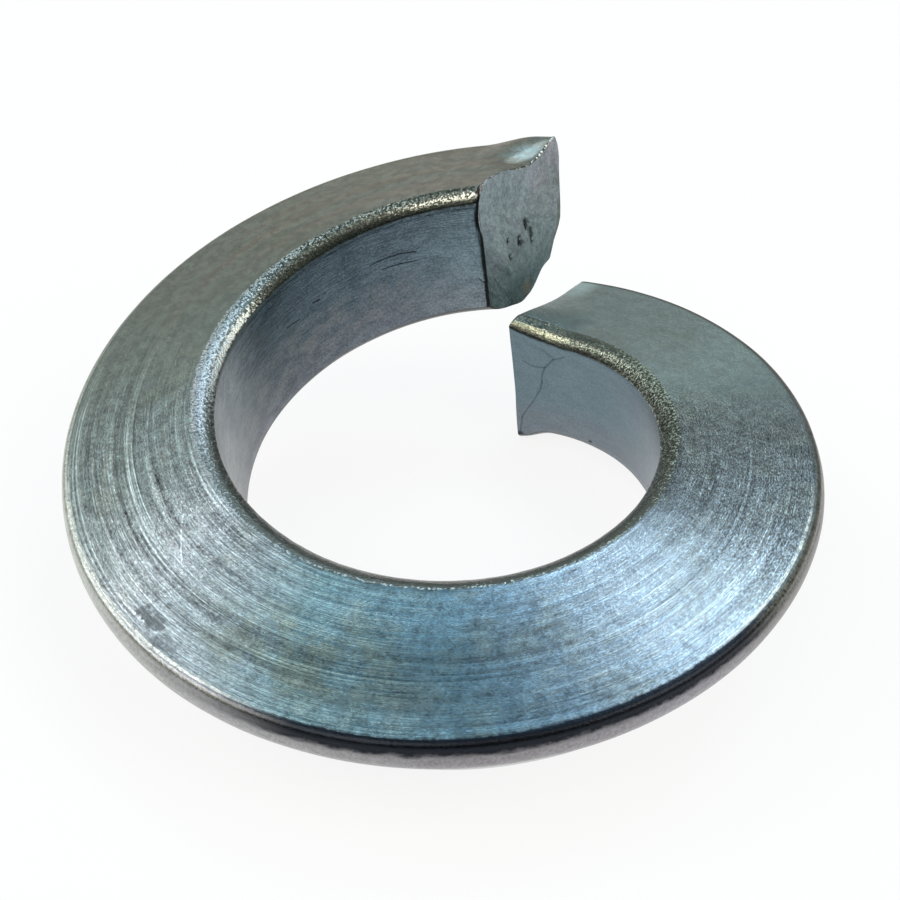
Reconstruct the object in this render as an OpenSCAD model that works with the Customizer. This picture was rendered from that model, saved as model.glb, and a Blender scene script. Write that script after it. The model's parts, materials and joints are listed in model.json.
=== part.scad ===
// Conical spring washer: one turn of left-hand coil with a coned upper face,
// a tapered seat below and two sheared ends that stand apart along the bore.
// Millimetres. The washer lies as it settles on a bench, with its bore leaning
// away from the vertical and the origin half way up the bore, on its axis.

/* [Bore and rim] */
// Diameter of the bore
bore_d = 20.5; // [17:0.5:25]
// Outside diameter at the rim, where its band swells the most
rim_d = 35.4; // [32:0.1:42]
// Height of the rim band
rim_h = 1.25; // [0.8:0.05:2.5]
// How far the middle of the rim band swells past its upper edge
rim_bulge = 0.16; // [0:0.02:0.4]
// How much further the band draws in at its lower edge than at its upper one
rim_draw = 0.05; // [0:0.05:0.3]
// Radius of the edge between the coned face and the rim
rim_edge = 0.32; // [0.1:0.02:0.6]

/* [Section] */
// Height of the section at the bore, from the land up to the crown
thick = 7.5; // [6:0.1:10]
// Fall of the coned face from the crown to the rim
cone_drop = 1.2; // [0.3:0.05:2]
// Width of the rounded edge at the top of the bore
crown_w = 0.85; // [0.4:0.05:1.5]
// Depth of the rounded edge at the top of the bore
crown_h = 0.5; // [0.2:0.01:1]
// Width of the rounded edge at the bottom of the bore
foot_w = 0.55; // [0.2:0.05:1]
// Depth of the rounded edge at the bottom of the bore
foot_h = 0.5; // [0.2:0.05:1]
// Half width of the ellipse behind each rounded edge, in widths of that edge
edge_ellipse = 1.9; // [1.5:0.1:4]
// Slope of the tapered seat above the land
seat_angle = 60; // [52:1:75]

/* [Coil and cut] */
// Axial climb of the coil in one full turn
pitch = 9; // [8.5:0.1:14]
// Opening between the two ends, measured round the bore
gap = 0.95; // [0.4:0.05:3]
// Direction of the low end at the bore, from +X
end_angle = 73.5; // [0:0.5:359]
// Angle between the cut and the radius at the bore
cut_skew = 21; // [0:1:35]

/* [Raised end] */
// How far its torn lower part stands past the cut
tear = 0.85; // [0:0.05:1.5]
// How far its torn metal hangs below the land
burr = 0.4; // [0:0.05:1]
// How much of the corner between the land and the seat broke away
chip = 0.45; // [0:0.05:0.8]
// Length of coil along which the burr and the chip run out
burr_run = 1.2; // [0.5:0.1:4]
// How far the shear rolled the coned face down at the cut
roll_down = 0.4; // [0:0.05:1]
// Length of coil along which the coned face rolls down
roll_run = 2; // [0.5:0.1:6]
// How far the shear kicked up the corner at the rim
corner_lift = 0.42; // [0:0.02:1]
// Length of coil along which the corner rises
lift_run = 4; // [1:0.1:8]

/* [Low end] */
// How far the shear kicked up the crown at the bore
crown_lift = 0.85; // [0:0.05:1.2]
// How much of the crown's rounded edge the shear pressed square
crown_square = 0.6; // [0:0.05:1]
// Length of coil along which the crown rises
crown_run = 2.6; // [0.5:0.1:6]
// How far its metal hangs below the land at the bore
foot_burr = 0.55; // [0:0.05:1]
// Length of coil along which that metal hangs
foot_run = 2; // [0.5:0.1:6]
// How far the corner at the rim stands past the cut
flare = 0.2; // [0:0.05:0.5]

/* [Resting pose] */
// Lean of the bore away from the vertical
lean = 12.9; // [0:0.1:20]
// Turn of the coil from the low end to where the bench is nearest
lean_turn = 32.7; // [0:0.1:359.9]

/* [Fineness] */
// Sections in one turn of the coil
turn_steps = 120; // [60:12:180]

/* [Hidden] */

bore_r = bore_d / 2;
rim_r = rim_d / 2;
edge_steps = 4;      // facets round each rounded edge
cone_steps = 5;      // strips across the coned face
band_steps = 4;      // strips down the rim band
seat_steps = 2;      // strips down the seat
land_steps = 5;      // strips across the land
end_steps = 10;      // sections in the length that the shear bent, at the raised end
cap_steps = 5;       // rings between the outline of an end and its middle
bore_stock = 0.15;   // metal left inside the bore for the true bore to take away
end_play = 1;        // how far the bore cutter runs past the coil
bore_facets = 180;   // facets round the bore cutter in a preview

// Where the shear bent and broke the ends, as shares of the way from bore to rim
burr_start = 0.05;   // the burr begins
burr_full = 0.25;    // and hangs its full depth
burr_fade = 0.3;     // it thins from here
burr_end = 0.45;     // and is gone
chip_start = 0.38;   // the chip begins
chip_full = 0.52;    // and is deepest
roll_start = 0.3;    // the roll begins
roll_full = 0.7;     // and is deepest
lift_start = 0.55;   // the raised end's corner begins to rise
crown_end = 0.75;    // the low end's crown is no higher past here
foot_end = 0.35;     // and its foot no lower
flare_start = 0.35;  // its corner begins to stand out

// Section levels, counted up from the land
rim_top = thick - cone_drop - rim_edge;
rim_low = rim_top - rim_h;
edge_r = rim_r - rim_bulge;
seat_r = edge_r - rim_draw;
land_r = seat_r - rim_low / tan(seat_angle);

// The coil runs clockwise from the low end, seen from above
gap_turn = gap / bore_r * 180 / PI;
sweep = 360 - gap_turn;
rise = pitch * sweep / 360;
bent_turn = max(burr_run, roll_run, lift_run) / bore_r * 180 / PI;
plain_steps = ceil((sweep - bent_turn) / 360 * turn_steps);
skew_arm = bore_r * sin(cut_skew);
wall_low = foot_h - foot_burr;
wall_top = rise + thick - crown_h;
wall_mid = (wall_low + wall_top) / 2;
lean_at = end_angle - lean_turn;

function ramp(x, from, to) =
    let (t = min(1, max(0, (x - from) / (to - from)))) t * t * (3 - 2 * t);

// Even steps from one value to another, which the last one meets exactly
function blend(a, b, steps) = [for (i = [1:steps]) i == steps ? b : a + (b - a) * i / steps];

// Part of an ellipse that reaches the face at width w and passes the bore wall at
// depth h, and runs on into the stock inside the bore. No point lies at the wall.
function bore_edge(w, h) =
    let (
        half_w = edge_ellipse * w,
        at_wall = acos(1 / edge_ellipse),
        half_h = h / (1 - sin(at_wall)),
        in_stock = acos(min(1, (w + bore_stock) / half_w)),
        angles = [in_stock, for (i = [1:edge_steps])
            at_wall + (90 - at_wall) * (i - 0.5) / (edge_steps - 0.5)]
    )
    [for (a = angles) [bore_r + w - half_w * cos(a), half_h * (1 - sin(a))]];

// Round from the coned face into the rim band
function rim_round() =
    [for (i = [1:edge_steps])
        let (a = 90 * i / edge_steps)
        [edge_r - rim_edge * (1 - sin(a)), rim_top + rim_edge * cos(a)]];

// The rim band, widest half way down
function rim_band() =
    [for (i = [1:band_steps])
        let (t = 2 * i / band_steps - 1, fall = t > 0 ? rim_bulge + rim_draw : rim_bulge)
        [rim_r - fall * t * t, rim_top - rim_h * (1 + t) / 2]];

// Outline of the section as [radius, height], up the bore, out over the
// coned face, down the rim and the seat, and in under the land
function section() =
    let (
        crown = bore_edge(crown_w, crown_h),
        foot = bore_edge(foot_w, foot_h),
        cone_start = [bore_r + crown_w, thick],
        cone_end = [edge_r - rim_edge, rim_top + rim_edge],
        seat_start = [seat_r, rim_low],
        seat_end = [land_r, 0],
        land_end = [bore_r + foot_w, 0]
    )
    concat(
        [for (p = crown) [p[0], thick - p[1]]],
        blend(cone_start, cone_end, cone_steps),
        rim_round(),
        rim_band(),
        blend(seat_start, seat_end, seat_steps),
        blend(seat_end, land_end, land_steps),
        [for (i = [edge_steps - 1:-1:0]) foot[i]]
    );

// Turn by which a point of the cut lags behind the bore, so that the cut is straight
function lag(r) = asin(min(1, skew_arm / bore_r)) - asin(min(1, skew_arm / max(r, skew_arm)));

// How far out a section point lies, as a share of the way from bore to rim
function share(p) = (p[0] - bore_r) / (rim_r - bore_r);

// How far the torn metal stands out at a place on the raised end
function torn(p) =
    tear * ramp(p[1], 0.75 * thick, 0.25 * thick) * ramp(p[0], bore_r, bore_r + crown_w);

// How far the shear moved a section point up, at a distance from the raised cut
function bent_raised(p, distance) =
    let (
        s = share(p),
        lift = corner_lift * ramp(s, lift_start, 1) * ramp(distance, lift_run, lift_run / 4),
        roll = roll_down * ramp(s, roll_start, roll_full) * ramp(s, 1, roll_full)
            * ramp(distance, roll_run, 0),
        hang = burr * ramp(s, burr_start, burr_full) * ramp(s, burr_end, burr_fade),
        loss = chip * ramp(s, chip_start, chip_full)
    )
    upper(p) * (lift - roll) - lower(p) * (hang - loss) * ramp(distance, burr_run, 0);

// How far the shear moved a section point up, at a distance from the low cut
function bent_low(p, distance) =
    let (
        on_crown = p[0] < bore_r + crown_w && p[1] > thick / 2,
        fill = on_crown ? crown_square * (thick - p[1]) : 0,
        kick = crown_lift * ramp(share(p), crown_end, 0),
        hang = foot_burr * ramp(share(p), foot_end, 0)
    )
    (upper(p) * kick + fill) * ramp(distance, crown_run, 0)
        - lower(p) * hang * ramp(distance, foot_run, 0);

// How much of a move of the coned face, and of the land, reaches a section point
function upper(p) = ramp(p[1], thick / 2, rim_top);
function lower(p) = ramp(p[1], thick / 3, foot_h);

// A section point set on the coil at a turn, standing out along it by a length
function place(p, turn, out = 0) =
    let (
        t = turn + lag(p[0]) + out / p[0] * 180 / PI,
        a = end_angle - t,
        arc = PI / 180 * p[0],
        bent = bent_raised(p, (sweep - turn) * arc) + bent_low(p, turn * arc)
    )
    [p[0] * cos(a), p[0] * sin(a), p[1] + pitch * t / 360 + bent];

// A section point set on the coil, where the first and last sections are the cuts
function on_coil(p, turn) =
    place(p, turn, turn == 0 ? -flare * ramp(share(p), flare_start, 1) : turn == sweep ? torn(p) : 0);

// The outline drawn in towards its middle, for a ring across an end
function drawn_in(outline, middle, k) = [for (p = outline) p + (middle - p) * k / cap_steps];

module coil() {
    outline = section();
    m = len(outline);
    middle = [(bore_r + rim_r) / 2, thick / 2];
    turns = concat(
        [0],
        blend(0, sweep - bent_turn, plain_steps),
        blend(sweep - bent_turn, sweep, end_steps)
    );
    low_end = [for (k = [cap_steps - 1:-1:1]) for (p = drawn_in(outline, middle, k)) on_coil(p, 0)];
    body = [for (t = turns) for (p = outline) on_coil(p, t)];
    raised_end = [for (k = [1:cap_steps - 1]) for (p = drawn_in(outline, middle, k))
        on_coil(p, sweep)];
    rings = len(turns) + 2 * (cap_steps - 1);
    last = (rings - 1) * m;
    low_hub = rings * m;
    raised_hub = low_hub + 1;
    points = concat(low_end, body, raised_end, [on_coil(middle, 0), on_coil(middle, sweep)]);
    skin = [for (i = [0:rings - 2]) for (j = [0:m - 1])
        let (a = i * m + j, b = i * m + (j + 1) % m)
        each [[a, b, b + m], [a, b + m, a + m]]];
    hubs = [for (j = [0:m - 1])
        let (k = (j + 1) % m)
        each [[k, j, low_hub], [last + j, last + k, raised_hub]]];
    polyhedron(points = points, faces = concat(skin, hubs), convexity = 6);
}

module bore_cutter() {
    translate([0, 0, -foot_burr - end_play])
        cylinder(h = rise + thick + foot_burr + 2 * end_play, r = bore_r, $fn = bore_facets);
}

module spring_washer() {
    color("LightSteelBlue")
        rotate(a = lean, v = [sin(lean_at), -cos(lean_at), 0])
            translate([0, 0, -wall_mid])
                difference() {
                    coil();
                    bore_cutter();
                }
}

spring_washer();
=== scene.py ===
import json
import math

import bpy
import numpy as np
from mathutils import Matrix, Vector


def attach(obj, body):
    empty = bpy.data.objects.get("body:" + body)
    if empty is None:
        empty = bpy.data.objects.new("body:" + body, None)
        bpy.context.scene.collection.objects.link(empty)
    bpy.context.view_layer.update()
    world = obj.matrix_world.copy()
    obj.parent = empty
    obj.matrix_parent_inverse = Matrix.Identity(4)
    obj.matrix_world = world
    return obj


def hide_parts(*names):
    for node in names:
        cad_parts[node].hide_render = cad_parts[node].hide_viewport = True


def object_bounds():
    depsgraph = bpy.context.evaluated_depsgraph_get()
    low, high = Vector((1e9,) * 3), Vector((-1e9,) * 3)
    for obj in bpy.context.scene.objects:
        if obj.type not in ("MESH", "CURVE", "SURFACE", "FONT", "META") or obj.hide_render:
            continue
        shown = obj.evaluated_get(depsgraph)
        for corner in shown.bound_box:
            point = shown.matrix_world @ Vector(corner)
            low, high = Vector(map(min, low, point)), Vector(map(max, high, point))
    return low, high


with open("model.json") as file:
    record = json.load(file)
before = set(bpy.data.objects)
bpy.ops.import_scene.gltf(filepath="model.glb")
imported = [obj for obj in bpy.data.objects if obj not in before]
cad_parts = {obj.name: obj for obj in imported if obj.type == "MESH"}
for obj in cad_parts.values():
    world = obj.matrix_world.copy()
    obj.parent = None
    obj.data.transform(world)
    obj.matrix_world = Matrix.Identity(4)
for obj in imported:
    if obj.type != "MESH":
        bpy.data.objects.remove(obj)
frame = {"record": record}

CAD_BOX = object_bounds()

# ---------------------------------------------------------------- sizes
# Millimetres in the washer's own frame: height is counted up the bore from the
# land, and turns are counted in radians round the coil from the low end.
HOLE = frame["record"]["mounts"][0]
BORE_R = HOLE["dims"]["r_mm"]
BORE_AXIS = Vector(HOLE["axis"])
RIM_R = 17.7
RIM_H = 1.25
RIM_BULGE = 0.16
RIM_DRAW = 0.05
RIM_EDGE = 0.32
THICK = 7.5
CONE_DROP = 1.2
CROWN_W = 0.85
CROWN_H = 0.5
FOOT_W = 0.55
FOOT_H = 0.5
EDGE_ELLIPSE = 1.9
SEAT_SLOPE = math.radians(60)
PITCH = 9.0
GAP = 0.95
END_ANGLE = math.radians(73.5)
CUT_SKEW = math.radians(21)

# The raised end, where the shear tore and bent the metal. Names in _AT say where across
# the section a change starts and ends, as shares of the way from bore to rim.
TEAR = 0.85
TEAR_RUN = 0.5
BURR = 0.4
BURR_AT = (0.05, 0.25, 0.3, 0.45)
CHIP = 0.45
CHIP_AT = (0.38, 0.52)
BURR_RUN = 1.2
ROLL_DOWN = 0.4
ROLL_AT = (0.3, 0.7, 0.7, 1.0)
ROLL_RUN = 2.0
CORNER_LIFT = 0.42
CORNER_AT = (0.55, 1.0)
LIFT_RUN = 4.0

# The low end, where it pressed the metal down and the crown up
CROWN_LIFT = 0.85
CROWN_AT = (0.75, 0)
CROWN_SQUARE = 0.6
CROWN_RUN = 3.4
CROWN_FALL = 1.5
FOOT_BURR = 0.55
FOOT_AT = (0.35, 0)
FOOT_RUN = 2.0
FLARE = 0.4
FLARE_AT = (0.25, 0.9)
FOOT_FLARE = 0.12
FOOT_FLARE_TOP = 4.0

CONE_LOW = THICK - CONE_DROP
RIM_TOP = CONE_LOW - RIM_EDGE
RIM_LOW = RIM_TOP - RIM_H
EDGE_R = RIM_R - RIM_BULGE
CONE_R = EDGE_R - RIM_EDGE
CROWN_R = BORE_R + CROWN_W
SEAT_R = EDGE_R - RIM_DRAW
LAND_R = SEAT_R - RIM_LOW / math.tan(SEAT_SLOPE)
SWEEP = 2 * math.pi - GAP / BORE_R
RISE = PITCH * SWEEP / (2 * math.pi)
SKEW_ARM = BORE_R * math.sin(CUT_SKEW)
WALL_MID = (FOOT_H - FOOT_BURR + RISE + THICK - CROWN_H) / 2
MID_R = (BORE_R + RIM_R) / 2
MIDDLE = np.array([[MID_R, THICK / 2]])
MM = 0.001

# The seam beside the raised cut, and a notch in it on the bore wall
SEAM_IN = 0.1
SEAM_DEEP = 0.11
SEAM_WIDE = 0.08
NOTCH = 0.12
NOTCH_AT = 6.0

# The lip of smeared metal that pushes the seam back over the crown, with its shape as
# radii and shares, then the beads and the ragged lower edge of the same cut
LIP = 0.35
LIP_SHAPE = ([BORE_R, 10.6, 11.2, 12.4, 13.6], [0.0, 0.4, 1.0, 0.9, 0.0])
LIP_END = LIP_SHAPE[0][-1]
LIP_UP = 0.3
LIP_RUN = 0.45
LIP_FULL = 0.1
BEAD = 0.05
RAGGED = 0.05

# How far the skin waves off its true form: all over, on the crown and on the cuts
SLOW_WAVE = 0.012
QUICK_WAVE = 0.004
HAMMER_MARK = 0.008
CUT_GRAIN = 0.018
CUT_WAVE = 0.02

# Dents in the raised cut, as (radius, height, share of the size below)
PITS = [
    (13.4, 3.7, 1.3),
    (13.5, 3.1, 1.2),
    (12.5, 3.2, 1.25),
    (11.7, 3.7, 0.7),
    (11.4, 2.9, 0.9),
    (13.3, 2.7, 0.7),
]
PIT_DEEP = 0.06
PIT_WIDE = 0.16
PIT_TALL = 0.26

# How finely the coil is drawn. Sections are closest together over the rounded edge of a
# cut, and close over the torn and the bent part beside it.
EDGE_ROUND = 0.06
EDGE_RINGS = 5
TORN_RUN = 0.6
TORN_RINGS = 16
BENT_RUN = 4.0
BENT_RINGS = 34
BODY_RINGS = 500
CAP_RINGS = 26

# Steps along each part of the section, and the radii of the corners under it
WALL_STEPS = 18
CROWN_STEPS = 12
CONE_STEPS = 46
RIM_STEPS = 8
BAND_STEPS = 10
SEAT_STEPS = 10
LAND_STEPS = 12
FOOT_STEPS = 6
BEND_STEPS = 4
RIM_BEND = 0.1
LAND_BEND = 0.2

# The coil's finishes, by their places in its list of materials, and how far past the
# crown the cone's own finish starts. Distances under TOUCH count as none.
CROWN, WALL, RIM, ENDS, CONE = range(5)
CROWN_MARGIN = 0.6
TOUCH = 0.001


# ---------------------------------------------------------------- shape
def ramp(x, start, end):
    """0 at start and 1 at end, smooth between them. start may be the larger one."""
    t = np.clip((x - start) / (end - start), 0, 1)
    return t * t * (3 - 2 * t)


def hat(x, start, full, fade, end):
    """0 up to start, 1 from full to fade, and 0 again from end."""
    return ramp(x, start, full) * ramp(x, end, fade)


class Relief:
    """Smooth random height over a surface, the same on every run."""

    SIDE = 256

    def __init__(self, seed):
        self.table = np.random.default_rng(seed).uniform(-1, 1, (self.SIDE, self.SIDE))

    def __call__(self, u, v):
        u, v = np.broadcast_arrays(u, v)
        i, j = np.floor(u).astype(int), np.floor(v).astype(int)
        a, b = ramp(u - i, 0, 1), ramp(v - j, 0, 1)
        near = self.knot(i, j) * (1 - b) + self.knot(i, j + 1) * b
        far = self.knot(i + 1, j) * (1 - b) + self.knot(i + 1, j + 1) * b
        return near * (1 - a) + far * a

    def knot(self, i, j):
        """The random height at a corner of the grid, which repeats."""
        return self.table[i % self.SIDE, j % self.SIDE]


WAVE = Relief(3)
HAMMER = Relief(7)


def arc(centre, width, height, start, end, steps):
    """Points of an ellipse's arc, without its first point. Angles in degrees."""
    angles = np.radians(np.linspace(start, end, steps + 1))[1:]
    return [(centre[0] + width * math.cos(a), centre[1] + height * math.sin(a)) for a in angles]


def line(start, end, steps):
    """Points along a line, without its first point."""
    return [tuple(np.add(start, np.subtract(end, start) * i / steps)) for i in range(1, steps + 1)]


def bend(before, at, after, radius, steps):
    """A rounded corner of the section, as points on a short curve."""
    one = np.subtract(before, at)
    two = np.subtract(after, at)
    one = one / np.linalg.norm(one) * radius
    two = two / np.linalg.norm(two) * radius
    share = [i / steps for i in range(steps + 1)]
    return [tuple(np.asarray(at) + one * (1 - t) ** 2 + two * t ** 2) for t in share]


def section():
    """Outline of the coil as (radius, height), up the bore wall, over the crown and the
    coned face, down the rim and the seat, and in under the land."""
    at_wall = math.degrees(math.acos(1 / EDGE_ELLIPSE))
    full = 1 - math.sin(math.radians(at_wall))
    crown_deep, foot_deep = CROWN_H / full, FOOT_H / full
    crown_mid, foot_mid = (CROWN_R, THICK - crown_deep), (BORE_R + FOOT_W, foot_deep)
    rim_low, land_out, land_in = (SEAT_R, RIM_LOW), (LAND_R, 0), (BORE_R + FOOT_W, 0)
    points = [(BORE_R, FOOT_H)]
    points += line((BORE_R, FOOT_H), (BORE_R, THICK - CROWN_H), WALL_STEPS)
    points += arc(crown_mid, EDGE_ELLIPSE * CROWN_W, crown_deep, 180 - at_wall, 90, CROWN_STEPS)
    points += line((CROWN_R, THICK), (CONE_R, CONE_LOW), CONE_STEPS)
    points += arc((CONE_R, RIM_TOP), RIM_EDGE, RIM_EDGE, 90, 0, RIM_STEPS)
    for i in range(1, BAND_STEPS):
        t = 2 * i / BAND_STEPS - 1
        fall = RIM_BULGE + (RIM_DRAW if t > 0 else 0)
        points.append((RIM_R - fall * t * t, RIM_TOP - RIM_H * (1 + t) / 2))
    points += bend(points[-1], rim_low, land_out, RIM_BEND, BEND_STEPS)
    turn_under = bend(rim_low, land_out, land_in, LAND_BEND, BEND_STEPS)
    points += line(points[-1], turn_under[0], SEAT_STEPS) + turn_under[1:]
    points += line(turn_under[-1], land_in, LAND_STEPS)
    points += arc(foot_mid, EDGE_ELLIPSE * FOOT_W, foot_deep, 270, 180 + at_wall, FOOT_STEPS)[:-1]
    return np.array(points)


def outward(outline):
    """Unit normals of the outline, away from the metal."""
    along = np.roll(outline, -1, axis=0) - np.roll(outline, 1, axis=0)
    normal = np.stack([-along[:, 1], along[:, 0]], axis=1)
    return normal / np.linalg.norm(normal, axis=1)[:, None]


def lag(radius):
    """Turn by which a point of the cut lags behind the bore, so that the cut is straight."""
    return math.asin(SKEW_ARM / BORE_R) - np.arcsin(SKEW_ARM / radius)


def share_out(radius):
    """How far out a radius lies, as a share of the way from bore to rim."""
    return (radius - BORE_R) / (RIM_R - BORE_R)


def upper_lower(height):
    """How far a section point belongs to the top of the coil, and to its foot."""
    return ramp(height, THICK / 2, RIM_TOP), ramp(height, THICK / 3, FOOT_H)


def bent_raised(points, distance):
    """How far the shear moved the metal up, at a distance from the raised cut."""
    radius, height = points.T
    share = share_out(radius)
    upper, lower = upper_lower(height)
    lift = CORNER_LIFT * ramp(share, *CORNER_AT) * ramp(distance, LIFT_RUN, LIFT_RUN / 4)
    lift = lift + LIP_UP * np.interp(radius, *LIP_SHAPE) * ramp(distance, LIP_RUN, LIP_FULL)
    dip = ROLL_DOWN * hat(share, *ROLL_AT) * ramp(distance, ROLL_RUN, 0)
    hang = BURR * hat(share, *BURR_AT) - CHIP * ramp(share, *CHIP_AT)
    return upper * (lift - dip) - lower * hang * ramp(distance, BURR_RUN, 0)


def bent_low(points, distance):
    """How far the shear moved the metal up, at a distance from the low cut."""
    radius, height = points.T
    share = share_out(radius)
    upper, lower = upper_lower(height)
    on_crown = (radius < CROWN_R) & (height > THICK / 2)
    fill = np.where(on_crown, CROWN_SQUARE * (THICK - height), 0)
    kick = CROWN_LIFT * ramp(share, *CROWN_AT)
    hang = FOOT_BURR * ramp(share, *FOOT_AT)
    near_crown = np.clip(1 - distance / CROWN_RUN, 0, 1) ** CROWN_FALL
    near_foot = ramp(distance, FOOT_RUN, 0)
    return (upper * kick + fill) * near_crown - lower * hang * near_foot


def torn(points):
    """How far the torn metal stands out of the raised cut."""
    radius, height = points.T
    low = ramp(height, 0.75 * THICK, 0.25 * THICK)
    return TEAR * low * ramp(radius, BORE_R, CROWN_R)


def place(points, turn, out):
    """Section points set on the coil at a turn and pushed out along it, in the washer's
    own frame."""
    radius, height = points.T
    t = turn + lag(radius) + out / radius
    bent = bent_raised(points, (SWEEP - turn) * radius) + bent_low(points, turn * radius)
    angle = END_ANGLE - t
    up = height + PITCH * t / (2 * math.pi) + bent
    return np.stack([radius * np.cos(angle), radius * np.sin(angle), up], axis=1)


def end_out(points, turn):
    """How far a section near an end is pushed along the coil past its own place."""
    radius, height = points.T
    from_low, from_raised = turn * BORE_R, (SWEEP - turn) * BORE_R
    flare = FLARE * ramp(share_out(radius), *FLARE_AT) + FOOT_FLARE * ramp(height, FOOT_FLARE_TOP, FOOT_H)
    flare = -flare * np.clip(1 - from_low / TEAR_RUN, 0, 1)
    return flare + torn(points) * np.clip(1 - from_raised / TEAR_RUN, 0, 1)


def cut_relief(points, share_in, raised):
    """How far a sheared face stands off its plain form. share_in is 0 at its edge and 1
    in its middle."""
    radius, height = points.T
    rough = CUT_GRAIN * HAMMER(radius / 0.35, height / 0.5) + CUT_WAVE * WAVE(radius, height)
    rough = rough * ramp(share_in, 0.0, 0.15)
    for pit_r, pit_h, size in PITS if raised else []:
        off = ((radius - pit_r) / PIT_WIDE) ** 2 + ((height - pit_h) / PIT_TALL) ** 2
        rough = rough - PIT_DEEP * size * np.exp(-off / size ** 2)
    return rough


def end_inset(turn):
    """How far a section is drawn in, so that the edge of a cut is round."""
    gap = EDGE_ROUND - min(turn * BORE_R, (SWEEP - turn) * BORE_R, EDGE_ROUND)
    return EDGE_ROUND - math.sqrt(max(0.0, EDGE_ROUND ** 2 - gap ** 2))


def surface_relief(outline, turn):
    """Height of the skin over the true section: slow waves and a hammered crown, and
    beside the raised cut a ragged lower edge, the seam and the beads of the burr."""
    radius, height = outline.T
    length = np.concatenate([[0], np.cumsum(np.linalg.norm(np.diff(outline, axis=0), axis=1))])
    along = turn * radius
    left = (SWEEP - turn) * radius
    skin = SLOW_WAVE * WAVE(length / 2.6, along / 3.1) + QUICK_WAVE * WAVE(length / 0.9 + 40, along / 1.7)
    top = ramp(height, THICK - CROWN_H - 0.2, THICK - CROWN_H)
    on_crown = top * ramp(radius, CROWN_R + 0.15, CROWN_R - 0.2)
    skin += HAMMER_MARK * on_crown * HAMMER(length / 0.2, along / 0.24)
    below = ramp(height, 3.6, 2.4) * ramp(radius, 10.6, 11.2)
    skin += RAGGED * HAMMER(length / 0.45, 3.0) * below * ramp(left, 0.9, 0.1)
    notch = NOTCH * np.exp(-((height - NOTCH_AT) / 0.9) ** 2)
    lip = LIP * np.interp(radius, *LIP_SHAPE) * ramp(height, 3.0, RIM_TOP)
    past = left - SEAM_IN - notch - lip
    inner = ramp(radius, LIP_END, LIP_SHAPE[0][-2]) * ramp(height, 1.0, 2.5)
    skin -= SEAM_DEEP * inner * np.exp(-(past / SEAM_WIDE) ** 2)
    beads = 0.6 + 0.4 * HAMMER(radius / 0.22, 5.0)
    on_edge = ramp(radius, 12.8, LIP_END) * ramp(height, RIM_TOP, RIM_TOP + 0.2)
    return skin + BEAD * beads * on_edge * np.exp(-((left - 0.1) / 0.07) ** 2)


def stations():
    """Turns at which the coil has a section, close together near the two ends."""
    edge = EDGE_ROUND * (1 - np.cos(np.linspace(0, math.pi / 2, EDGE_RINGS)))
    torn_part = np.linspace(EDGE_ROUND, TORN_RUN, TORN_RINGS)[1:]
    bent_part = np.linspace(TORN_RUN, BENT_RUN, BENT_RINGS)[1:]
    near = np.concatenate([edge, torn_part, bent_part]) / BORE_R
    body = np.linspace(near[-1], SWEEP - near[-1], BODY_RINGS)[1:-1]
    return np.concatenate([near, body, SWEEP - near[::-1]])


def finish_of(outline):
    """Which finish each strip along the coil takes."""
    following = np.roll(outline, -1, axis=0)
    on_wall = np.maximum(outline[:, 0], following[:, 0]) < BORE_R + TOUCH
    under = np.minimum(outline[:, 1], following[:, 1]) < CONE_LOW - TOUCH
    on_cone = np.minimum(outline[:, 0], following[:, 0]) > CROWN_R + CROWN_MARGIN
    return np.where(on_wall, WALL, np.where(under, RIM, np.where(on_cone, CONE, CROWN)))


def build_washer():
    """The coil as one closed mesh. The point attribute "spot" keeps each point's
    radius, height and turn for the finishes."""
    outline = section()
    normal = outward(outline)
    count = len(outline)
    turns = stations()
    points, spots, faces = [], [], []
    for turn in turns:
        lift = surface_relief(outline, turn) - end_inset(turn)
        points.append(place(outline + normal * lift[:, None], turn, end_out(outline, turn)))
        spots.append(np.column_stack([outline, np.full(count, turn)]))
    for i in range(len(turns) - 1):
        for j in range(count):
            k = (j + 1) % count
            a, b = i * count, (i + 1) * count
            faces.append((a + j, a + k, b + k, b + j))
    body_faces = len(faces)

    def cap(turn, outer, raised):
        """Closes an end with rings that shrink to its middle. outer is the number of the
        first point of the ring outside."""
        drawn_in = outline - normal * EDGE_ROUND
        for i in range(1, CAP_RINGS + 1):
            last = i == CAP_RINGS
            ring = MIDDLE if last else drawn_in + (MIDDLE - drawn_in) * i / CAP_RINGS
            relief = cut_relief(ring, i / CAP_RINGS, raised)
            first = sum(len(row) for row in points)
            points.append(place(ring, turn, end_out(ring, turn) + relief))
            spots.append(np.column_stack([ring, np.full(len(ring), turn)]))
            for j in range(count):
                k = (j + 1) % count
                inner = (first,) if last else (first + k, first + j)
                face = (outer + j, outer + k) + inner
                faces.append(face if raised else face[::-1])
            outer = first

    cap(turns[-1], (len(turns) - 1) * count, True)
    cap(turns[0], 0, False)

    own = np.concatenate(points)
    own[:, 2] -= WALL_MID
    lean = Vector((0, 0, 1)).rotation_difference(BORE_AXIS).to_matrix()
    own = own @ np.array(lean).T * MM

    mesh = bpy.data.meshes.new("spring_washer_steel")
    mesh.from_pydata(own.tolist(), [], faces)
    spot = mesh.attributes.new("spot", "FLOAT_VECTOR", "POINT")
    spot.data.foreach_set("vector", np.concatenate(spots).ravel())
    mesh.polygons.foreach_set("use_smooth", [True] * len(faces))
    finishes = finish_of(outline).tolist() * (len(turns) - 1) + [ENDS] * (len(faces) - body_faces)
    mesh.polygons.foreach_set("material_index", finishes)
    mesh.update()
    piece = bpy.data.objects.new("spring_washer_steel", mesh)
    bpy.context.collection.objects.link(piece)
    return piece


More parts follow.
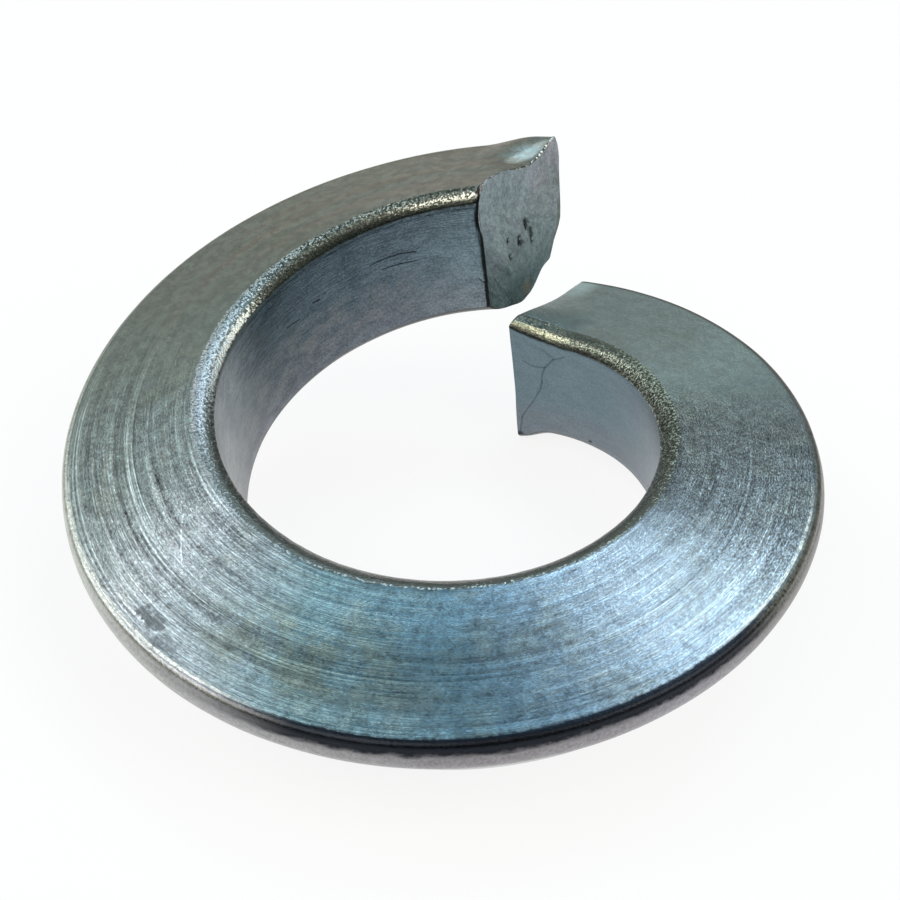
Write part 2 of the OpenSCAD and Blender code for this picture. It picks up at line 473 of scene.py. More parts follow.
# ---------------------------------------------------------------- materials
class Value:
    """A number in a material. Python's operators on it add Math nodes."""

    def __init__(self, shader, socket):
        self.shader = shader
        self.socket = socket

    def math(self, operation, *others):
        """The result of a Math node on this number and others."""
        node = self.shader.node("Math", {"operation": operation}, dict(enumerate((self, *others))))
        return Value(self.shader, node.outputs[0])

    def __add__(self, other):
        return self.math("ADD", other)

    __radd__ = __add__

    def __mul__(self, other):
        return self.math("MULTIPLY", other)

    __rmul__ = __mul__

    def __sub__(self, other):
        return self.math("SUBTRACT", other)

    def __rsub__(self, other):
        return (self * -1).math("ADD", other)

    def ramp(self, start, end):
        """0 before start, 1 past end, and smooth between them."""
        flip = start > end
        settings = {"interpolation_type": "SMOOTHSTEP"}
        values = {0: self, 1: min(start, end), 2: max(start, end), 3: float(flip), 4: float(not flip)}
        node = self.shader.node("MapRange", settings, values)
        return Value(self.shader, node.outputs[0])

    def within(self, start, end, soft):
        """1 between start and end, and 0 outside them."""
        return self.ramp(start - soft, start + soft) * self.ramp(end + soft, end - soft)

    def part(self, limits):
        """A ramp between two limits, or within them where a softness follows."""
        return self.ramp(*limits) if len(limits) == 2 else self.within(*limits)


class Shader:
    """The nodes of one material or world."""

    def __init__(self, owner):
        owner.use_nodes = True
        self.tree = owner.node_tree
        self.tree.nodes.clear()

    def node(self, kind, settings=None, values=None):
        """Adds a node: its settings first, then its inputs, as numbers or links."""
        node = self.tree.nodes.new("ShaderNode" + kind)
        for name, setting in (settings or {}).items():
            if name == "stops":
                self.set_stops(node.color_ramp.elements, setting)
            else:
                setattr(node, name, setting)
        for name, value in (values or {}).items():
            socket = node.inputs[name]
            if isinstance(value, Value):
                value = value.socket
            if isinstance(value, bpy.types.NodeSocket):
                self.tree.links.new(value, socket)
            else:
                socket.default_value = value
        return node

    @staticmethod
    def set_stops(elements, stops):
        """Fills a colour ramp, which starts with two stops."""
        for _ in stops[2:]:
            elements.new(0.5)
        for element, (position, colour) in zip(elements, stops):
            element.position = position
            element.color = colour

    def split(self, vector):
        """The three numbers of a vector."""
        return [Value(self, o) for o in self.node("SeparateXYZ", {}, {0: vector}).outputs]

    def join(self, x, y, z):
        """A vector of three numbers."""
        return self.node("CombineXYZ", {}, {0: x, 1: y, 2: z}).outputs[0]

    def noise(self, at, scale, detail, rough):
        """Noise between 0 and 1, with so many marks to a unit of the vector at."""
        values = {"Vector": at, "Scale": scale, "Detail": detail, "Roughness": rough}
        return Value(self, self.node("TexNoise", {}, values).outputs["Fac"])

    def streaks(self, u, v, wide, long, detail, rough):
        """Noise whose marks are so wide along u and so long along v."""
        return self.noise(self.join(u * (1 / wide), v * (1 / long), 0.0), 1.0, detail, rough)

    def marks(self, u, v, wide, long, low, high, rough=0.6):
        """Streaks with an edge: 0 below one level of the noise and 1 past the other."""
        return self.streaks(u, v, wide, long, 3, rough).ramp(low, high)

    def stroke(self, u, v, start, end, wide):
        """1 on a line between two places, and 0 past its width."""
        (u0, v0), (du, dv) = start, (end[0] - start[0], end[1] - start[1])
        share = ((u - u0) * du + (v - v0) * dv) * (1 / (du * du + dv * dv))
        share = share.math("MAXIMUM", 0.0).math("MINIMUM", 1.0)
        off_u, off_v = u - u0 - share * du, v - v0 - share * dv
        return (off_u * off_u + off_v * off_v).math("SQRT").ramp(wide, wide * 0.35)

    def mix(self, factor, one, two):
        """A colour between two, which are colours or sockets."""
        node = self.node("Mix", {"data_type": "RGBA"}, {0: factor, 6: one, 7: two})
        return node.outputs[2]

    def dim(self, colour, level):
        """A colour times a number."""
        return self.node("VectorMath", {"operation": "SCALE"}, {0: colour, "Scale": level}).outputs[0]

    def blend(self, value, stops):
        """The colour at a value between 0 and 1, from a row of stops."""
        return self.node("ValToRGB", {"stops": stops}, {0: value}).outputs[0]

    def output(self, kind, surface):
        """Ends a Material or a World."""
        self.node("Output" + kind, {}, {"Surface": surface})


def paint(red, green, blue):
    """A colour as nodes take it."""
    return (red, green, blue, 1.0)


def grey(level):
    """A colour with no tint."""
    return paint(level, level, level)


# Tint of the plate on the coned face, by turn as a share of the whole coil: partly the
# plate's own tint and partly painted reflection, its lighter and darker turns standing in
# for the bright and dark parts of the room that the cone reflects. The shares hold at one
# radius, and further out the tint runs ahead, by so many radians a millimetre.
TINT_R = 13.9
TINT_AHEAD = 0.033
CONE_TINT = [
    (0.00, paint(0.29, 0.37, 0.39)),
    (0.05, paint(0.32, 0.39, 0.41)),
    (0.13, paint(0.375, 0.45, 0.45)),
    (0.19, paint(0.215, 0.235, 0.235)),
    (0.26, paint(0.23, 0.255, 0.27)),
    (0.30, paint(0.42, 0.48, 0.525)),
    (0.335, paint(0.395, 0.46, 0.515)),
    (0.39, paint(0.21, 0.29, 0.35)),
    (0.43, paint(0.15, 0.25, 0.305)),
    (0.50, paint(0.18, 0.285, 0.315)),
    (0.54, paint(0.30, 0.36, 0.38)),
    (0.585, paint(0.43, 0.47, 0.48)),
    (0.635, paint(0.285, 0.325, 0.31)),
    (0.85, paint(0.285, 0.31, 0.28)),
    (1.00, paint(0.31, 0.33, 0.31)),
]

# How much lighter each kind of mark makes the cone: all round it, and how much more at
# its right, left, back and front
CONE_MARKS = {
    "mottle": (0.16, 0.26, 0.22, 0.14, 0.18),
    "speckle": (0.20, 0.95, 0.45, 0.0, 0.16),
    "dark dashes": (-0.14, -0.45, -0.3, 0.0, 0.0),
    "blotches": (-0.04, 0.0, -0.10, 0.0, -0.22),
    "light dashes": (0.04, 0.9, 0.7, 0.0, 0.0),
    "fine lines": (0.24, 0.0, 0.5, 0.0, 0.0),
    "grooves": (0.16, 0.9, 0.75, 0.0, 0.0),
    "bands": (0.6, 0.0, 0.0, 0.0, 0.0),
}

# Tint of the light flecks on the rolled crown, by the same share. The flecks are partly
# the crown's grain and partly painted glints, golden where they stand in for warm light.
FLECK_TINT = [
    (0.00, paint(0.63, 0.62, 0.42)),
    (0.08, paint(0.57, 0.62, 0.48)),
    (0.20, paint(0.62, 0.66, 0.56)),
    (0.45, paint(0.60, 0.66, 0.66)),
    (0.62, paint(0.50, 0.50, 0.48)),
    (0.70, grey(0.52)),
    (0.80, paint(0.56, 0.59, 0.55)),
    (0.92, paint(0.54, 0.54, 0.46)),
    (1.00, paint(0.62, 0.61, 0.52)),
]

# How many of the flecks there are: a grey of 0.5 is the usual number
FLECK_LEVEL = [
    (0.00, grey(0.62)),
    (0.10, grey(0.57)),
    (0.20, grey(0.50)),
    (0.35, grey(0.40)),
    (0.55, grey(0.42)),
    (0.63, grey(0.52)),
    (0.70, grey(0.66)),
    (0.78, grey(0.58)),
    (0.88, grey(0.46)),
    (1.00, grey(0.56)),
]

# Where the flecks gather: turns, then shares of the crown's width with the shift of the
# level there, and its shift all across
FLECK_PARTS = [
    ((0.9, 0.4), (0.15, 0.55, 0.14), 0.14, -0.17),
    ((1.9, 4.0, 0.3), (0.8, 1.0), 0.24, -0.04),
    ((4.0, 5.0, 0.2), (0.3, 0.6), 0.12, -0.12),
    ((4.4, 4.9, 0.15), (0.05, 0.28, 0.08), 0.26, 0.0),
    ((5.0, 5.75, 0.2), (0.5, 0.8), 0.18, -0.12),
    ((5.7, 5.95), (0.10, 0.50, 0.12), 0.20, -0.16),
]

# Tint of the rim band, by the same share
RIM_TINT = [
    (0.18, paint(0.22, 0.21, 0.19)),
    (0.27, paint(0.24, 0.23, 0.22)),
    (0.33, paint(0.30, 0.29, 0.31)),
    (0.42, paint(0.25, 0.24, 0.25)),
    (0.52, grey(0.38)),
    (0.60, paint(0.56, 0.59, 0.54)),
]

# Tint of the bore wall, by the same share: partly the wall's own tint and partly painted
# shade, darker than the plate outside because the bore is in shade
WALL_TINT = [
    (0.00, paint(0.15, 0.205, 0.235)),
    (0.06, paint(0.155, 0.215, 0.245)),
    (0.14, paint(0.125, 0.185, 0.22)),
    (0.70, paint(0.245, 0.275, 0.29)),
    (0.80, paint(0.098, 0.133, 0.155)),
    (0.92, paint(0.11, 0.15, 0.18)),
    (1.00, paint(0.16, 0.22, 0.25)),
]

# Turns between which the rim's edge is darkest, and less dark beside that, with how
# soft their ends are. The dark edge is partly a real dark edge and partly painted
# reflection of the dark room in front of the washer.
DARK_FRONT = (1.75, 3.1, 0.15)
DARK_SIDE = (1.15, 1.8, 0.12)

# Fine scratches and cracks in the bore wall, as lines of (distance round it, height),
# with how dark and how wide they are
SCRATCHES = [
    [(57.4, 5.00), (58.5, 5.02), (59.9, 4.80)],
    [(58.0, 4.45), (59.0, 4.40), (59.9, 4.28)],
    [(52.0, 4.47), (52.9, 4.35)],
    [(53.9, 4.65), (54.3, 4.60)],
    [(63.0, 2.45), (63.35, 2.0), (63.5, 1.5)],
]
CRACKS = [
    [(0.15, 0.60), (0.32, 1.60), (1.00, 2.60), (1.72, 3.93), (1.98, 4.83), (2.57, 5.86), (3.3, 6.45)],
    [(1.98, 4.83), (1.22, 4.35), (0.66, 4.25)],
    [(2.57, 5.86), (1.90, 6.15)],
]
WALL_LINES = [(SCRATCHES, 0.75, 0.055), (CRACKS, 0.35, 0.07)]

# Shine of the metal: how rough plate and cuts are, and how far fine lines draw out lights
PLATE_ROUGH = 0.27
PLATE_DRAWN = 0.5
CUT_ROUGH = 0.5


def coil_material(name):
    """A new material of the coil, with its nodes, each point's stored radius, height and
    turn, and its place on the piece."""
    material = bpy.data.materials.new("zinc_plated_steel_" + name)
    s = Shader(material)
    spot = s.node("Attribute", {"attribute_name": "spot"}).outputs["Vector"]
    body = s.node("TexCoord").outputs["Object"]
    return material, s, spot, body


def metal(material, s, colour, bumps, rough=PLATE_ROUGH, drawn=PLATE_DRAWN):
    """Ends a material of the coil. bumps is in millimetres."""
    bump = s.node("Bump", {}, {"Strength": 1.0, "Distance": MM, "Height": bumps})
    steel = s.node("BsdfPrincipled", {}, {
        "Base Color": colour,
        "Metallic": 1.0,
        "Roughness": rough,
        "Anisotropic": drawn,
        "Normal": bump.outputs[0],
    })
    s.output("Material", steel.outputs[0])
    return material


def ragged_shift(s, body):
    """A ragged shift of up to 0.15 mm either way, for the borders between finishes."""
    return s.noise(body, 3500, 3, 0.65) * 0.3 - 0.15


def plated_cone(s, spot, body):
    """Turned grooves under bright plate: the colour, and the height of the grooves."""
    radius, _, turn = s.split(spot)
    along = turn * MID_R

    # Parts of the cone
    turned = turn.ramp(0.9, 1.7) * turn.ramp(4.9, 3.9)
    right = turn.within(1.05, 1.75, 0.2)
    left = turn.within(3.4, 4.35, 0.35)
    front = turn.within(2.0, 3.2, 0.4)
    deep = turn.within(2.45, 3.1, 0.3)
    back = turn.ramp(4.2, 5.2)
    outer = radius.ramp(12.6, 14.5)
    share = (turn + (radius - TINT_R) * TINT_AHEAD) * (1 / SWEEP)

    # Marks all over it, and lines that follow the turned grooves
    patch = s.noise(body, 420, 4, 0.65)
    mottle = s.noise(body, 1700, 4, 0.7).ramp(0.38, 0.62) - 0.5
    blotch = s.streaks(radius + 15, along, 0.5, 0.9, 4, 0.7).ramp(0.54, 0.66)
    speckle = s.marks(radius, along, 0.06, 0.16, 0.40, 0.58, 0.75) - 0.5
    dashes = s.streaks(radius + 3, along, 0.065, 1.0, 3, 0.6)
    fine = s.marks(radius + 5, along, 0.11, 12.0, 0.38, 0.64, 0.65) - 0.5
    groups = s.streaks(radius + 21, along, 1.0, 26.0, 2, 0.5)
    groove = s.marks(radius + 11, along, 0.11, 16.0, 0.54, 0.62)
    band = s.marks(radius + 7, along, 0.5, 18.0, 0.35, 0.65) - 0.5

    # Tints, then how light each place is
    # Plate tint by turn, partly painted reflection of the room
    colour = s.blend(share, CONE_TINT)
    colour = s.mix(patch.ramp(0.48, 0.68) * 0.3, colour, paint(0.24, 0.25, 0.20))
    colour = s.mix(groups.ramp(0.45, 0.6) * back * 0.5, colour, paint(0.33, 0.28, 0.24))
    olive = turn.within(2.75, 3.35, 0.3) * radius.within(13.3, 16.2, 0.8) * patch.ramp(0.42, 0.56)
    colour = s.mix(olive * 0.55, colour, paint(0.15, 0.18, 0.14))
    lines = turned * (0.35 + groups.ramp(0.42, 0.58) * 0.65)
    marks = {
        "mottle": mottle,
        "speckle": speckle,
        "dark dashes": dashes.ramp(0.42, 0.34),
        "blotches": blotch,
        "light dashes": dashes.ramp(0.60, 0.67),
        "fine lines": fine * lines,
        "grooves": groove * lines * outer,
        "bands": band * lines,
    }
    shine = 1
    for name, (all_round, *more) in CONE_MARKS.items():
        strength = all_round
        for part, extra in zip((right, left, back, front), more):
            if extra:
                strength = part * extra + strength
        shine = marks[name] * strength + shine
    # Painted reflection on the cone: darker over its outer front, lighter near the crown at the front and
    # darker near it just before that, following the room it reflects; then painted shade on the slope by the
    # low end's lifted crown, over its reflection of the blue ceiling.
    shine = shine * (1 - deep * radius.within(13.2, 16.7, 0.8) * 0.32)
    shine = shine * (1 + turn.within(2.2, 3.0, 0.4) * radius.ramp(13.0, 11.3) * 0.12)
    shine = shine * (1 - turn.within(1.6, 2.3, 0.3) * radius.ramp(14.0, 12.0) * 0.12)
    shine = shine * (1 - s.stroke(radius, along, (11.4, 0.4), (11.9, 2.6), 1.7) * 0.25)

    # Stains, a scratch, a painted highlight on the roll by the raised cut and a painted highlight on the
    # corner by the low one
    shaken = radius + mottle * 0.3
    stain = s.stroke(shaken, along, (16.4, 47.7465), (16.4, 48.65), 0.35)
    spill = s.stroke(shaken, along, (16.9, 46.704), (16.8, 47.26), 0.4)
    shine = shine * (1 - stain * 0.58) * (1 - spill * 0.4)
    shine = shine + s.stroke(radius, turn * 13.4, (12.8, 49.982), (14.0, 47.704), 0.05) * 0.5
    from_cut = (SWEEP - turn) * radius
    # Painted highlight along the rolled-down edge by the raised cut
    roll = s.stroke(radius, from_cut, (15.0, 1.0), (16.7, 0.22), 0.55)
    # Painted highlight on the outer corner by the low cut
    corner = (turn * radius).ramp(1.3, 0.3) * radius.ramp(14.2, 16.6)
    shine = shine + corner + roll * 0.9
    return s.dim(colour, shine), fine * turned * (0.012 + left * 0.008) + speckle * (0.003 + right * 0.003)


def rolled_crown(s, spot, body):
    """The rolled crown, with light flecks like sugar on dark metal: partly its grain and partly painted
    glints.
    """
    radius, height, turn = s.split(spot)
    share = turn * (1 / SWEEP)
    across = (radius - BORE_R) * (1 / CROWN_W)
    sugar = s.noise(body, 8500, 2, 0.7)
    streaky = s.streaks(radius + height, turn * BORE_R, 0.07, 0.7, 3, 0.7)
    flecks = sugar + (streaky - sugar) * turn.ramp(0.7, 0.2) * 0.6

    # Where round the coil, and across the crown, the flecks are more or fewer
    level = Value(s, s.blend(share, FLECK_LEVEL)) - 0.5
    for turns, widths, there, all_across in FLECK_PARTS:
        level = level + turn.part(turns) * (across.part(widths) * there + all_across)
    # How much the light flecks show: partly grain, partly painted glints
    amount = (flecks + level - 0.56).ramp(-0.07, 0.07)

    # The dark metal between them
    dark = s.mix(sugar.ramp(0.38, 0.62), paint(0.04, 0.045, 0.035), paint(0.22, 0.23, 0.19))
    dark = s.mix(turn.ramp(1.4, 0.3) * 0.35, dark, paint(0.20, 0.21, 0.17))
    dark = s.mix(turn.within(1.6, 4.2, 0.4) * 0.85, dark, paint(0.21, 0.22, 0.205))
    dark = s.mix(turn.within(4.0, 5.0, 0.3) * across.ramp(0.2, 0.5) * 0.7, dark, paint(0.22, 0.25, 0.25))
    lower = across.ramp(0.55, 0.2) * turn.within(4.9, 6.0, 0.3)
    dark = s.mix(lower * 0.8, dark, paint(0.03, 0.035, 0.03))
    return s.mix(amount, dark, s.blend(share, FLECK_TINT)), sugar * 0.04


def seam(s, spot, ragged, colour):
    """The seam that smeared metal leaves beside the raised cut, painted over a colour."""
    radius, height, turn = s.split(spot)
    from_cut = (SWEEP - turn) * radius
    lip = radius.ramp(10.3, 11.2) * radius.ramp(LIP_END, 12.2) * height.ramp(3.0, RIM_TOP) * LIP
    notch = height.within(NOTCH_AT - 0.6, NOTCH_AT + 0.6, 0.5) * NOTCH
    past = from_cut - lip - notch - SEAM_IN + ragged * 0.25
    inner = radius.ramp(LIP_END, 13.0)
    colour = s.mix(past.ramp(-0.06, -0.12) * inner, colour, paint(0.30, 0.33, 0.35))
    return s.mix(past.within(-0.11, 0.07, 0.04) * inner, colour, paint(0.012, 0.014, 0.014))


def cut_edge(s, spot, body, ragged, colour):
    """The seam, the beads and the burr along the top of the raised cut."""
    radius, _, turn = s.split(spot)
    colour = seam(s, spot, ragged, colour)
    from_cut = (SWEEP - turn) * radius

    # Dark and light beads in a row, then the torn burr where the crown meets the cut
    beads = s.noise(body, 6000, 1, 0.5)
    edge = radius.ramp(11.2, 11.5) * (from_cut + ragged * 0.3).within(0.0, 0.10, 0.03)
    colour = s.mix(edge * beads.ramp(0.58, 0.46), colour, paint(0.04, 0.04, 0.035))
    colour = s.mix(edge * beads.ramp(0.56, 0.64) * 0.8, colour, paint(0.85, 0.85, 0.78))
    lump = s.stroke(radius, from_cut, (10.7, 0.18), (12.2, 0.52), 0.25)
    colour = s.mix(lump * beads.ramp(0.60, 0.46) * 0.85, colour, paint(0.085, 0.062, 0.05))
    return s.mix(lump * beads.ramp(0.57, 0.65) * 0.7, colour, paint(0.62, 0.60, 0.52))


def crown_finish():
    """The rolled crown, and the bright plate beside it."""
    material, s, spot, body = coil_material("crown")
    radius, _, turn = s.split(spot)
    ragged = ragged_shift(s, body)
    colour, bumps = plated_cone(s, spot, body)
    crown_colour, crown_bumps = rolled_crown(s, spot, body)
    crown_edge = CROWN_R + turn.ramp(1.6, 0.2) * 0.22 + turn.within(3.9, 4.9, 0.3) * 0.1
    crown = (radius + ragged - crown_edge).ramp(0.05, -0.05)
    colour = s.mix(crown, colour, crown_colour)
    smudge = (radius + ragged * 0.5).ramp(BORE_R + 0.3, BORE_R + 0.1)
    smudge = smudge * (turn.ramp(4.8, 5.1) * 0.9 + turn.ramp(1.2, 0.3) * 0.6)
    colour = s.mix(smudge, colour, paint(0.02, 0.024, 0.02))
    colour = cut_edge(s, spot, body, ragged, colour)
    return metal(material, s, colour, bumps * (1 - crown) + crown_bumps * crown)


def cone_finish():
    """Bright zinc plate on the turned cone, with the dark edge along the rim, partly a real
    dark edge and partly painted reflection of the dark room, and a painted highlight line
    beside it."""
    material, s, spot, body = coil_material("cone")
    radius, _, turn = s.split(spot)
    ragged = ragged_shift(s, body)
    front = turn.within(*DARK_FRONT)
    side = turn.within(*DARK_SIDE)
    # Turns where a painted highlight line runs along the rim's edge
    lit = turn.within(1.4, 1.9, 0.12) + turn.within(3.15, 4.0, 0.15)
    colour, bumps = plated_cone(s, spot, body)
    # The dark edge along the rim: partly a real dark edge, partly painted reflection of the dark room,
    # darkest at the front
    over = (radius + ragged * 0.9).ramp(CONE_R - 0.16, CONE_R + 0.02)
    colour = s.mix(over * (0.2 + front * 0.78 + side * 0.3), colour, paint(0.015, 0.016, 0.02))
    # Painted highlight: a near-white line along the rim's edge
    line = radius.within(CONE_R - 0.13, CONE_R + 0.05, 0.04) * (ragged + 0.15).ramp(0.06, 0.2)
    colour = s.mix(line * lit * 0.85, colour, paint(0.95, 0.94, 0.84))
    return metal(material, s, cut_edge(s, spot, body, ragged, colour), bumps)


def wall_finish():
    """The bore wall, drawn smooth along the coil, with its scratches and cracks."""
    material, s, spot, body = coil_material("bore")
    _, height, turn = s.split(spot)
    round_bore = turn * BORE_R

    # Marks drawn out along the wall, and its tints
    drawn = s.marks(height, round_bore, 0.10, 1.1, 0.36, 0.64, 0.65) - 0.5
    dashes = s.marks(height + 4, round_bore, 0.08, 0.8, 0.60, 0.68)
    cloud = s.streaks(height, round_bore, 0.8, 1.5, 4, 0.65)
    grain = s.noise(body, 9000, 2, 0.6).ramp(0.36, 0.64) - 0.5
    far = turn.ramp(4.5, 5.2)
    # The wall's tint, partly painted shade of the bore
    colour = s.blend(turn * (1 / SWEEP), WALL_TINT)
    colour = s.mix(height.ramp(3.5, 1.0) * 0.35, colour, paint(0.22, 0.21, 0.23))
    brown = turn.within(4.4, 5.9, 0.4) * height.within(1.4, 3.9, 0.8)
    colour = s.mix(cloud.ramp(0.38, 0.66) * brown * 0.45, colour, paint(0.17, 0.158, 0.15))
    shine = 1 + grain * (0.18 + far * 0.2) + drawn * (0.05 + far * 0.06)
    shine = shine + (cloud.ramp(0.35, 0.65) - 0.5) * (0.1 + turn.ramp(3.4, 4.4) * 0.22)
    scored = turn.within(5.15, 5.9, 0.2) * height.within(4.0, 5.1, 0.5)
    shine = shine - dashes * (0.04 + far * 0.25 + scored * 0.35)

    # Single marks: scratches, cracks, the dark tip of the low end and a speck
    shaken = height + (cloud - 0.5) * 0.25
    for lines, dark, wide in WALL_LINES:
        for points in lines:
            for start, end in zip(points, points[1:]):
                shine = shine * (1 - s.stroke(round_bore, shaken, start, end, wide) * dark)
    tip = s.stroke(round_bore, height, (0.0, 0.35), (0.1, 0.5), 0.35)
    speck = s.stroke(round_bore, height, (4.8, 0.72), (4.9, 0.74), 0.12)
    colour = s.dim(colour, shine * (1 - tip * 0.8) * (1 - speck * 0.85))

    # The dark edge of the crown comes a little way down the wall
    ragged = ragged_shift(s, body)
    line = THICK - CROWN_H - turn.ramp(0.35, 0.0) * 0.25 - 0.06
    smudge = (height + ragged - line).ramp(-0.10, 0.10)
    smudge = smudge * (0.3 + turn.ramp(4.8, 5.1) * 0.65 + turn.ramp(1.2, 0.3) * 0.55)
    colour = s.mix(smudge, colour, paint(0.03, 0.035, 0.03))
    return metal(material, s, seam(s, spot, ragged, colour), drawn * 0.004)


def rim_finish():
    """The rim band with the dark edge above it, partly a real dark edge and partly painted reflection of the
    dark room, and the plain seat and land below.
    """
    material, s, spot, body = coil_material("rim")
    radius, height, turn = s.split(spot)
    along = turn * MID_R
    grain = s.noise(body, 7000, 3, 0.65).ramp(0.36, 0.64) - 0.5
    cloud = s.streaks(height, along, 0.4, 0.9, 3, 0.65) - 0.5
    front = turn.within(*DARK_FRONT)
    side = turn.within(*DARK_SIDE)
    colour = s.blend(turn * (1 / SWEEP), RIM_TINT)
    colour = s.mix(height.ramp(RIM_LOW, RIM_LOW - 0.2), colour, paint(0.33, 0.36, 0.36))
    colour = s.dim(colour, 1 + cloud * 0.6 + grain * 0.25 + height.ramp(RIM_TOP, RIM_LOW) * 0.12)
    # The dark edge over the rim's rounding: partly a real dark edge, partly painted reflection of the dark
    # room, darkest at the front
    over = (height + cloud * 0.5 + grain * 0.05).ramp(RIM_TOP - 0.33, RIM_TOP - 0.04)
    edge = s.mix(side * (grain + 0.7), paint(0.016, 0.019, 0.025), paint(0.16, 0.165, 0.14))
    colour = s.mix(over * (0.3 + front * 0.69 + side * 0.5 - turn.within(3.4, 4.6, 0.3) * 0.3), colour, edge)
    foot = height.ramp(FOOT_H + 0.1, FOOT_H) * radius.ramp(BORE_R + FOOT_W + 0.1, BORE_R + FOOT_W)
    colour = s.mix(foot, colour, paint(0.10, 0.105, 0.10))
    return metal(material, s, colour, grain * 0.006)


def sheared_finish():
    """The sheared ends, smeared at the top and torn below."""
    material, s, spot, body = coil_material("ends")
    radius, height, turn = s.split(spot)
    raised = turn.ramp(SWEEP / 2 - 1, SWEEP / 2 + 1)

    # Marks all over the cuts, which run down them
    grain = s.noise(body, 9000, 3, 0.65).ramp(0.36, 0.64) - 0.5
    patch = s.noise(body, 600, 4, 0.65)
    smear = s.streaks(radius + height * 0.25, height, 0.14, 0.8, 3, 0.65).ramp(0.38, 0.62) - 0.5
    specks = s.marks(radius + height * 0.2, height, 0.07, 0.16, 0.62, 0.68)
    lights = s.marks(radius + 5, height, 0.08, 0.14, 0.66, 0.71)
    colour = s.mix(height.ramp(4.2, 0.8), paint(0.30, 0.365, 0.40), paint(0.135, 0.19, 0.195))
    lilac = radius.ramp(13.4, 16.4) * height.ramp(2.5, 4.5)
    colour = s.mix(lilac * 0.75, colour, paint(0.36, 0.355, 0.40))
    colour = s.mix(patch.ramp(0.42, 0.60) * 0.5, colour, paint(0.21, 0.28, 0.28))
    blots = s.noise(body, 2600, 3, 0.7)
    shine = 1 + grain * 0.30 + smear * 0.14 - specks * 0.35 + lights * 0.4
    shine = shine + (blots.ramp(0.36, 0.64) - 0.5) * 0.34

    # Single marks on the raised cut: pits, a bruise, a light streak, the edge of the torn
    # part and a brown stain
    shaken = radius + (blots - 0.5) * 0.8
    for r, h, size in PITS:
        tall = size * 0.13
        pit = s.stroke(shaken, height, (r - 0.05, h - tall), (r + 0.06, h + tall), size * 0.17)
        shine = shine * (1 - pit * (0.6 + blots.ramp(0.40, 0.56) * 0.35) * raised)
    bruise = s.stroke(shaken, height, (12.1, 3.2), (13.3, 3.5), 1.1)
    shine = shine * (1 - bruise * raised * 0.14)
    streak = s.stroke(radius, height, (11.1, 2.5), (11.2, 2.2), 0.1)
    shine = shine + streak * raised * 0.3
    facet = (radius - height * (1 / math.tan(SEAT_SLOPE))).ramp(LAND_R - 0.45, LAND_R - 0.33)
    facet = facet * height.within(1.5, 3.4, 0.25) * raised
    colour = s.mix(facet * 0.6, colour, paint(0.13, 0.15, 0.13))
    brown = s.stroke(radius, height, (12.3, 0.6), (12.6, 0.7), 0.6) * patch.ramp(0.4, 0.55)
    colour = s.mix(brown * raised * 0.6, colour, paint(0.24, 0.18, 0.13))
    bumps = grain * 0.008 + smear * 0.010 - specks * 0.02
    return metal(material, s, s.dim(colour, shine), bumps, CUT_ROUGH, 0.0)


# The floor: half its side in metres, the light that its paper gives back, and how far it
# shows plain white to the camera and in the washer's metal
FLOOR_HALF = 3.0
PAPER = 0.86
PAPER_WHITE = 0.86


def floor_finish():
    """White paper: it shows white, and still takes the washer's shadow."""
    material = bpy.data.materials.new("white_floor")
    s = Shader(material)
    rays = s.node("LightPath").outputs
    seen = Value(s, rays["Is Camera Ray"]) + Value(s, rays["Is Glossy Ray"])
    seen = (seen + Value(s, rays["Is Transmission Ray"])).math("MINIMUM", 1.0)
    matt = s.node("BsdfDiffuse", {}, {"Color": grey(PAPER)})
    glow = s.node("Emission", {}, {"Color": grey(1), "Strength": 1.0})
    mixed = s.node("MixShader", {}, {0: seen * PAPER_WHITE, 1: matt.outputs[0], 2: glow.outputs[0]})
    s.output("Material", mixed.outputs[0])
    return material


# ---------------------------------------------------------------- room
def direction(turn, rise):
    """A direction from the washer: turn is counted from +Y to +X, rise from the floor."""
    turn, rise = math.radians(turn), math.radians(rise)
    return Vector((math.sin(turn) * math.cos(rise), math.cos(turn) * math.cos(rise), math.sin(rise)))


# The room's dark near side, a dim patch and the windows, as (turn, rise, half width, how
# soft the edge is, colour). Angles are in degrees.
ROOM = [
    (180, 36, 44, 16, paint(0.16, 0.16, 0.17)),
    (32, 38, 9, 5, paint(0.24, 0.30, 0.32)),
    (36, 62, 11, 2, paint(3.4, 4.3, 5.2)),
    (-12, 60, 7, 3, paint(1.5, 1.8, 1.9)),
    (-88, 45, 14, 4, paint(3.3, 3.3, 3.5)),
    (-140, 48, 20, 3, paint(3.4, 3.3, 3.0)),
    (112, 45, 20, 3, paint(3.4, 3.3, 3.0)),
]


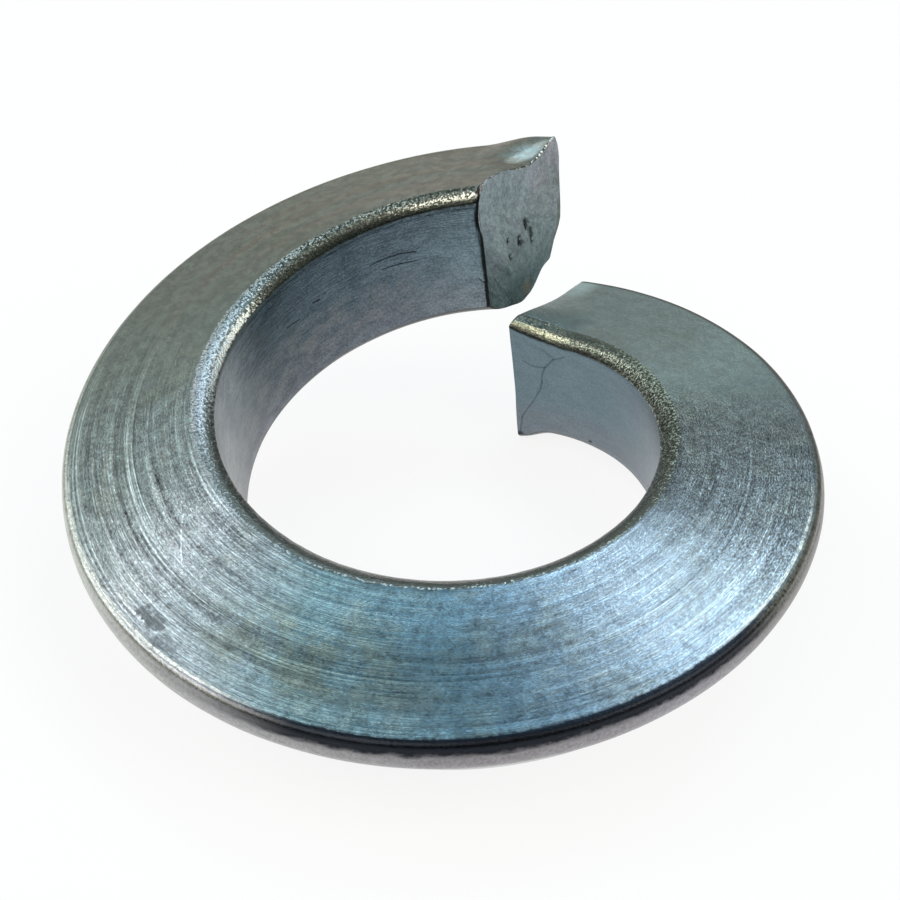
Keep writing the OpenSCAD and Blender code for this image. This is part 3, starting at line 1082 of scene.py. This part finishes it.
def build_world():
    """The room: pale walls, a blue ceiling and its windows. The camera itself sees white
    past the floor."""
    world = bpy.data.worlds.new("studio")
    bpy.context.scene.world = world
    s = Shader(world)
    way = s.node("TexCoord").outputs["Generated"]
    height = s.split(way)[2]
    sky = s.mix(height.ramp(0.15, 0.6), paint(0.46, 0.44, 0.38), paint(0.37, 0.46, 0.45))
    sky = s.mix(height.ramp(0.75, 0.97), sky, paint(0.22, 0.46, 0.66))
    for turn, rise, wide, soft, colour in ROOM:
        towards = {0: way, 1: direction(turn, rise)}
        near = s.node("VectorMath", {"operation": "DOT_PRODUCT"}, towards).outputs["Value"]
        out, full = math.cos(math.radians(wide + soft)), math.cos(math.radians(wide - soft))
        sky = s.mix(Value(s, near).ramp(out, full), sky, colour)
    seen = Value(s, s.node("LightPath").outputs["Is Camera Ray"])
    sky = s.mix(seen, sky, grey(1))
    light = s.node("Background", {}, {"Color": sky, "Strength": 1.0})
    s.output("World", light.outputs[0])


def add_floor(level):
    """A square floor at a height, centred under the frame's origin."""
    corners = [(FLOOR_HALF * x, FLOOR_HALF * y, level) for x, y in ((-1, -1), (1, -1), (1, 1), (-1, 1))]
    mesh = bpy.data.meshes.new("floor")
    mesh.from_pydata(corners, [], [(0, 1, 2, 3)])
    floor = bpy.data.objects.new("floor", mesh)
    bpy.context.collection.objects.link(floor)
    mesh.materials.append(floor_finish())


def add_camera(turn, rise, roll, distance, aim, lens):
    """A camera that looks along +Y, turned, raised and rolled, at a point of the frame."""
    forward = direction(turn, -rise)
    turn, roll = math.radians(turn), math.radians(roll)
    side = Vector((math.cos(turn), -math.sin(turn), 0))
    top = side.cross(forward)
    right = side * math.cos(roll) - top * math.sin(roll)
    up = side * math.sin(roll) + top * math.cos(roll)
    data = bpy.data.cameras.new("camera")
    data.lens = lens
    data.sensor_width = 36
    data.clip_start = MM
    camera = bpy.data.objects.new("camera", data)
    turned = Matrix((right, up, -forward)).transposed().to_4x4()
    camera.matrix_world = Matrix.Translation(Vector(aim) - forward * distance) @ turned
    bpy.context.collection.objects.link(camera)
    bpy.context.scene.camera = camera


washer = build_washer()
# In the order of CROWN, WALL, RIM, ENDS and CONE
for finish in (crown_finish, wall_finish, rim_finish, sheared_finish, cone_finish):
    washer.data.materials.append(finish())
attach(washer, "root")
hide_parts("spring_washer")

add_floor(CAD_BOX[0][2])
build_world()
add_camera(turn=-0.209, rise=36.07, roll=-4.545, distance=0.05575, aim=(0.000091, 0, 0.000514), lens=45.757)

bpy.context.scene.view_settings.view_transform = "Standard"
